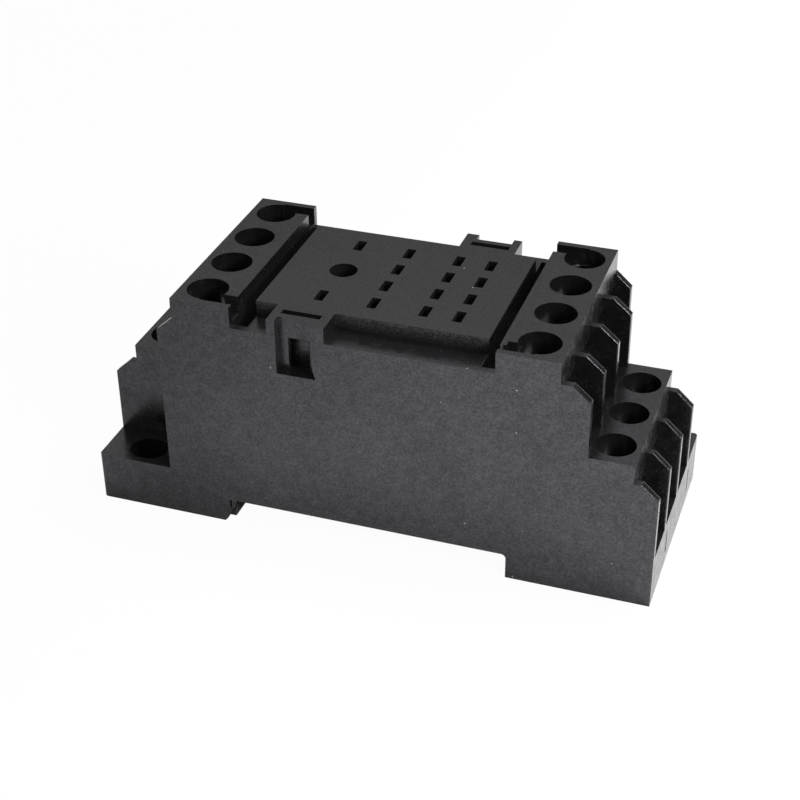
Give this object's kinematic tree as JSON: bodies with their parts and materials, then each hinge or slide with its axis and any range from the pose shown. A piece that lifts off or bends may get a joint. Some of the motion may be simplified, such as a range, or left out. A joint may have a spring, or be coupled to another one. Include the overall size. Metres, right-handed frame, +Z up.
{
  "type": "relay socket",
  "caption": "Rail or panel mounted socket for a plug-in relay: a black stepped housing with pin slots on a raised seat, two tiers of screw terminals at each end, and a rail latch.",
  "frame": {"origin": "centre of the underside of the housing", "axes": "+X along the length towards the fixed rail hook, +Y across the width, +Z up out of the relay seat"},
  "size_m": [0.072, 0.0286, 0.0315],
  "materials": {
    "black_moulding": "satin, fine grain",
    "dark_moulding": "satin",
    "latch_moulding": "satin",
    "contact_metal": "nickel flashed",
    "clamp_metal": "zinc plated",
    "screw_metal": "zinc plated",
    "spring_metal": "drawn wire"
  },
  "bodies": {
    "socket": {"housing": "black_moulding", "contact_carrier": "dark_moulding", "base_cover": "dark_moulding", "latch_spring": "spring_metal", "contact_01": "contact_metal", "contact_02": "contact_metal", "contact_03": "contact_metal", "contact_04": "contact_metal", "contact_05": "contact_metal", "contact_06": "contact_metal", "contact_07": "contact_metal", "contact_08": "contact_metal", "contact_09": "contact_metal", "contact_10": "contact_metal", "contact_11": "contact_metal", "contact_12": "contact_metal", "contact_13": "contact_metal", "contact_14": "contact_metal"},
    "latch": {"rail_latch": "latch_moulding"},
    "clamp_01": {"clamp_plate_01": "clamp_metal"},
    "screw_01": {"terminal_screw_01": "screw_metal"},
    "clamp_02": {"clamp_plate_02": "clamp_metal"},
    "screw_02": {"terminal_screw_02": "screw_metal"},
    "clamp_03": {"clamp_plate_03": "clamp_metal"},
    "screw_03": {"terminal_screw_03": "screw_metal"},
    "clamp_04": {"clamp_plate_04": "clamp_metal"},
    "screw_04": {"terminal_screw_04": "screw_metal"},
    "clamp_05": {"clamp_plate_05": "clamp_metal"},
    "screw_05": {"terminal_screw_05": "screw_metal"},
    "clamp_06": {"clamp_plate_06": "clamp_metal"},
    "screw_06": {"terminal_screw_06": "screw_metal"},
    "clamp_07": {"clamp_plate_07": "clamp_metal"},
    "screw_07": {"terminal_screw_07": "screw_metal"},
    "clamp_08": {"clamp_plate_08": "clamp_metal"},
    "screw_08": {"terminal_screw_08": "screw_metal"},
    "clamp_09": {"clamp_plate_09": "clamp_metal"},
    "screw_09": {"terminal_screw_09": "screw_metal"},
    "clamp_10": {"clamp_plate_10": "clamp_metal"},
    "screw_10": {"terminal_screw_10": "screw_metal"},
    "clamp_11": {"clamp_plate_11": "clamp_metal"},
    "screw_11": {"terminal_screw_11": "screw_metal"},
    "clamp_12": {"clamp_plate_12": "clamp_metal"},
    "screw_12": {"terminal_screw_12": "screw_metal"},
    "clamp_13": {"clamp_plate_13": "clamp_metal"},
    "screw_13": {"terminal_screw_13": "screw_metal"},
    "clamp_14": {"clamp_plate_14": "clamp_metal"},
    "screw_14": {"terminal_screw_14": "screw_metal"}
  },
  "joints": [
    {"name": "clamp_lift_01", "type": "slide", "parent": "socket", "child": "clamp_01", "axis": [0, 0, 1], "range_m": [0, 0.002]},
    {"name": "screw_turn_01", "type": "hinge", "parent": "clamp_01", "child": "screw_01", "pos_m": [0.0205, -0.01065, 0.0206], "axis": [0, 0, 1], "range_deg": [0, 1440]},
    {"name": "clamp_lift_02", "type": "slide", "parent": "socket", "child": "clamp_02", "axis": [0, 0, 1], "range_m": [0, 0.002]},
    {"name": "screw_turn_02", "type": "hinge", "parent": "clamp_02", "child": "screw_02", "pos_m": [0.0205, -0.00355, 0.0206], "axis": [0, 0, 1], "range_deg": [0, 1440]},
    {"name": "clamp_lift_03", "type": "slide", "parent": "socket", "child": "clamp_03", "axis": [0, 0, 1], "range_m": [0, 0.002]},
    {"name": "screw_turn_03", "type": "hinge", "parent": "clamp_03", "child": "screw_03", "pos_m": [0.0205, 0.00355, 0.0206], "axis": [0, 0, 1], "range_deg": [0, 1440]},
    {"name": "clamp_lift_04", "type": "slide", "parent": "socket", "child": "clamp_04", "axis": [0, 0, 1], "range_m": [0, 0.002]},
    {"name": "screw_turn_04", "type": "hinge", "parent": "clamp_04", "child": "screw_04", "pos_m": [0.0205, 0.01065, 0.0206], "axis": [0, 0, 1], "range_deg": [0, 1440]},
    {"name": "clamp_lift_05", "type": "slide", "parent": "socket", "child": "clamp_05", "axis": [0, 0, 1], "range_m": [0, 0.002]},
    {"name": "screw_turn_05", "type": "hinge", "parent": "clamp_05", "child": "screw_05", "pos_m": [0.02995, -0.01065, 0.0076], "axis": [0, 0, 1], "range_deg": [0, 1440]},
    {"name": "clamp_lift_06", "type": "slide", "parent": "socket", "child": "clamp_06", "axis": [0, 0, 1], "range_m": [0, 0.002]},
    {"name": "screw_turn_06", "type": "hinge", "parent": "clamp_06", "child": "screw_06", "pos_m": [0.02995, -0.00355, 0.0076], "axis": [0, 0, 1], "range_deg": [0, 1440]},
    {"name": "clamp_lift_07", "type": "slide", "parent": "socket", "child": "clamp_07", "axis": [0, 0, 1], "range_m": [0, 0.002]},
    {"name": "screw_turn_07", "type": "hinge", "parent": "clamp_07", "child": "screw_07", "pos_m": [0.02995, 0.00355, 0.0076], "axis": [0, 0, 1], "range_deg": [0, 1440]},
    {"name": "clamp_lift_08", "type": "slide", "parent": "socket", "child": "clamp_08", "axis": [0, 0, 1], "range_m": [0, 0.002]},
    {"name": "screw_turn_08", "type": "hinge", "parent": "clamp_08", "child": "screw_08", "pos_m": [-0.0205, -0.01065, 0.0206], "axis": [0, 0, 1], "range_deg": [0, 1440]},
    {"name": "clamp_lift_09", "type": "slide", "parent": "socket", "child": "clamp_09", "axis": [0, 0, 1], "range_m": [0, 0.002]},
    {"name": "screw_turn_09", "type": "hinge", "parent": "clamp_09", "child": "screw_09", "pos_m": [-0.0205, -0.00355, 0.0206], "axis": [0, 0, 1], "range_deg": [0, 1440]},
    {"name": "clamp_lift_10", "type": "slide", "parent": "socket", "child": "clamp_10", "axis": [0, 0, 1], "range_m": [0, 0.002]},
    {"name": "screw_turn_10", "type": "hinge", "parent": "clamp_10", "child": "screw_10", "pos_m": [-0.0205, 0.00355, 0.0206], "axis": [0, 0, 1], "range_deg": [0, 1440]},
    {"name": "clamp_lift_11", "type": "slide", "parent": "socket", "child": "clamp_11", "axis": [0, 0, 1], "range_m": [0, 0.002]},
    {"name": "screw_turn_11", "type": "hinge", "parent": "clamp_11", "child": "screw_11", "pos_m": [-0.0205, 0.01065, 0.0206], "axis": [0, 0, 1], "range_deg": [0, 1440]},
    {"name": "clamp_lift_12", "type": "slide", "parent": "socket", "child": "clamp_12", "axis": [0, 0, 1], "range_m": [0, 0.002]},
    {"name": "screw_turn_12", "type": "hinge", "parent": "clamp_12", "child": "screw_12", "pos_m": [-0.02995, -0.00355, 0.0076], "axis": [0, 0, 1], "range_deg": [0, 1440]},
    {"name": "clamp_lift_13", "type": "slide", "parent": "socket", "child": "clamp_13", "axis": [0, 0, 1], "range_m": [0, 0.002]},
    {"name": "screw_turn_13", "type": "hinge", "parent": "clamp_13", "child": "screw_13", "pos_m": [-0.02995, 0.00355, 0.0076], "axis": [0, 0, 1], "range_deg": [0, 1440]},
    {"name": "clamp_lift_14", "type": "slide", "parent": "socket", "child": "clamp_14", "axis": [0, 0, 1], "range_m": [0, 0.002]},
    {"name": "screw_turn_14", "type": "hinge", "parent": "clamp_14", "child": "screw_14", "pos_m": [-0.02995, 0.01065, 0.0076], "axis": [0, 0, 1], "range_deg": [0, 1440]},
    {"name": "latch_slide", "type": "slide", "parent": "socket", "child": "latch", "axis": [-1, 0, 0], "range_m": [0, 0.0024], "stiffness_N_per_m": 1500, "springref_m": -0.001, "deforming": ["latch_spring"]}
  ],
  "couplings": [
    {"joint": "screw_turn_01", "follows": "clamp_lift_01", "rad_per_m": 12566},
    {"joint": "screw_turn_02", "follows": "clamp_lift_02", "rad_per_m": 12566},
    {"joint": "screw_turn_03", "follows": "clamp_lift_03", "rad_per_m": 12566},
    {"joint": "screw_turn_04", "follows": "clamp_lift_04", "rad_per_m": 12566},
    {"joint": "screw_turn_05", "follows": "clamp_lift_05", "rad_per_m": 12566},
    {"joint": "screw_turn_06", "follows": "clamp_lift_06", "rad_per_m": 12566},
    {"joint": "screw_turn_07", "follows": "clamp_lift_07", "rad_per_m": 12566},
    {"joint": "screw_turn_08", "follows": "clamp_lift_08", "rad_per_m": 12566},
    {"joint": "screw_turn_09", "follows": "clamp_lift_09", "rad_per_m": 12566},
    {"joint": "screw_turn_10", "follows": "clamp_lift_10", "rad_per_m": 12566},
    {"joint": "screw_turn_11", "follows": "clamp_lift_11", "rad_per_m": 12566},
    {"joint": "screw_turn_12", "follows": "clamp_lift_12", "rad_per_m": 12566},
    {"joint": "screw_turn_13", "follows": "clamp_lift_13", "rad_per_m": 12566},
    {"joint": "screw_turn_14", "follows": "clamp_lift_14", "rad_per_m": 12566}
  ]
}
